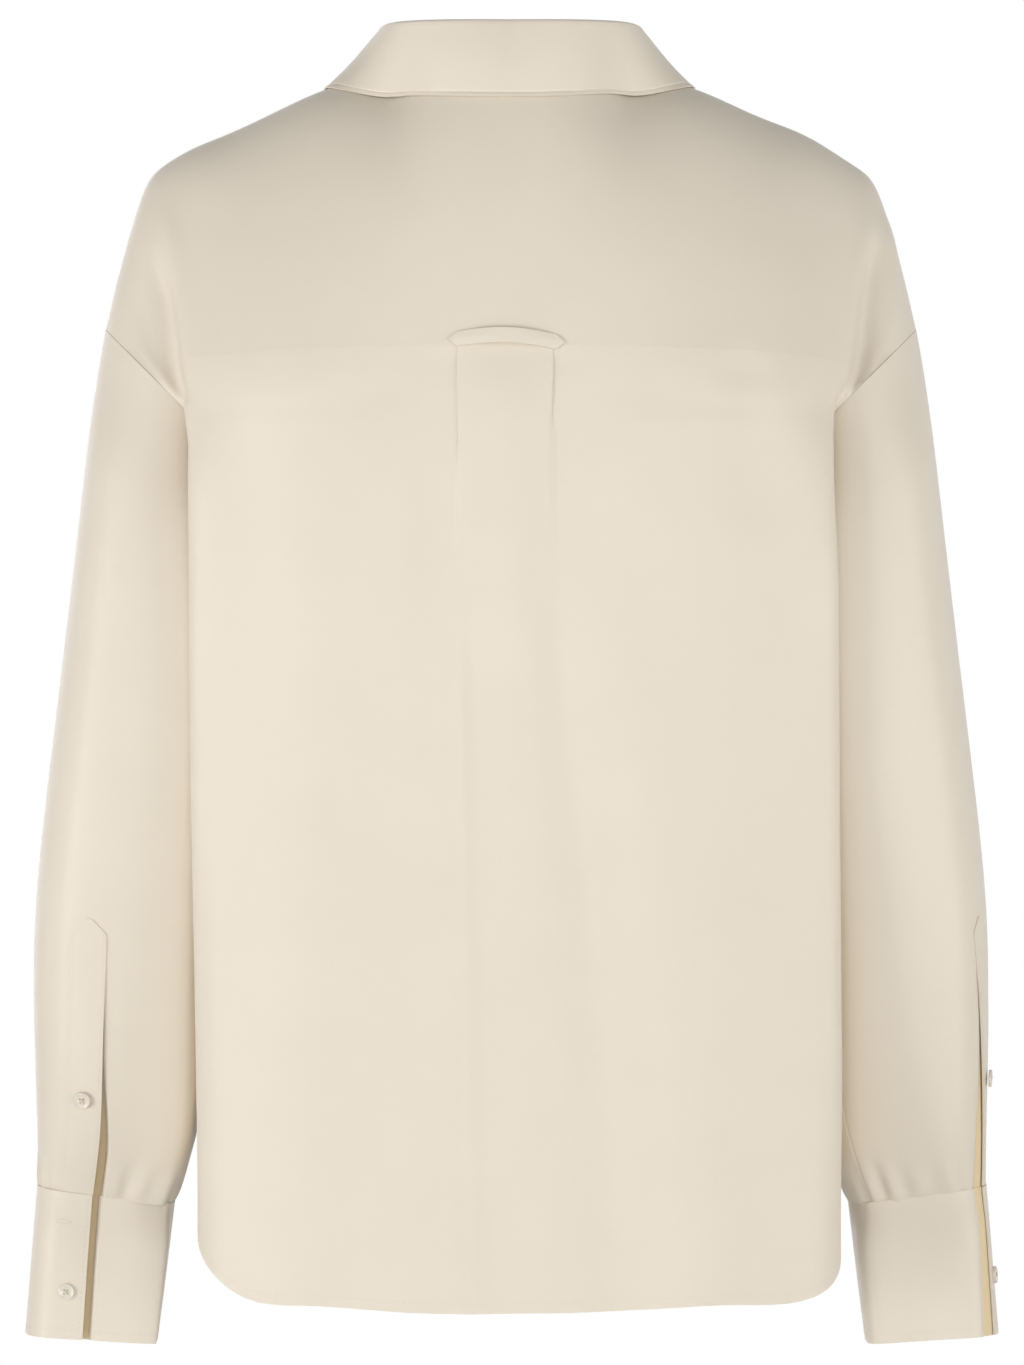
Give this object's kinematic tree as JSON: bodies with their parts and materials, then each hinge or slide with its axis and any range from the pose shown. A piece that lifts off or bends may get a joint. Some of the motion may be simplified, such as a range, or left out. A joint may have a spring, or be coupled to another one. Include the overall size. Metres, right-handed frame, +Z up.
{
  "type": "silk blouse",
  "caption": "Long-sleeved silk blouse with a shirt collar, a back yoke with a box pleat and hanger loop, button bands and deep buttoned cuffs, filled out as if worn.",
  "frame": {"origin": "middle of the neck opening, level with the points where the collar meets the shoulders", "axes": "+Z up along the wearer's body, +Y to the wearer's back, +X to the wearer's left"},
  "size_m": [0.5586, 0.2308, 0.7508],
  "materials": {
    "silk": "soft satin, ivory",
    "shell": "polished, pearly"
  },
  "bodies": {
    "root": {"back": "silk", "yoke": "silk", "front_left": "silk", "front_right": "silk", "band_left": "silk", "band_right": "silk", "collar_stand": "silk", "collar": "silk", "sleeve_left": "silk", "sleeve_right": "silk", "cuff_left": "silk", "cuff_right": "silk", "placket_left": "silk", "placket_right": "silk", "placket_under_left": "silk", "placket_under_right": "silk", "hanger_loop": "silk", "button_1": "shell", "button_2": "shell", "button_3": "shell", "button_4": "shell", "button_5": "shell", "button_6": "shell", "button_collar": "shell", "button_placket_left": "shell", "button_placket_right": "shell", "button_cuff_left": "shell", "button_cuff_right": "shell"}
  },
  "joints": []
}
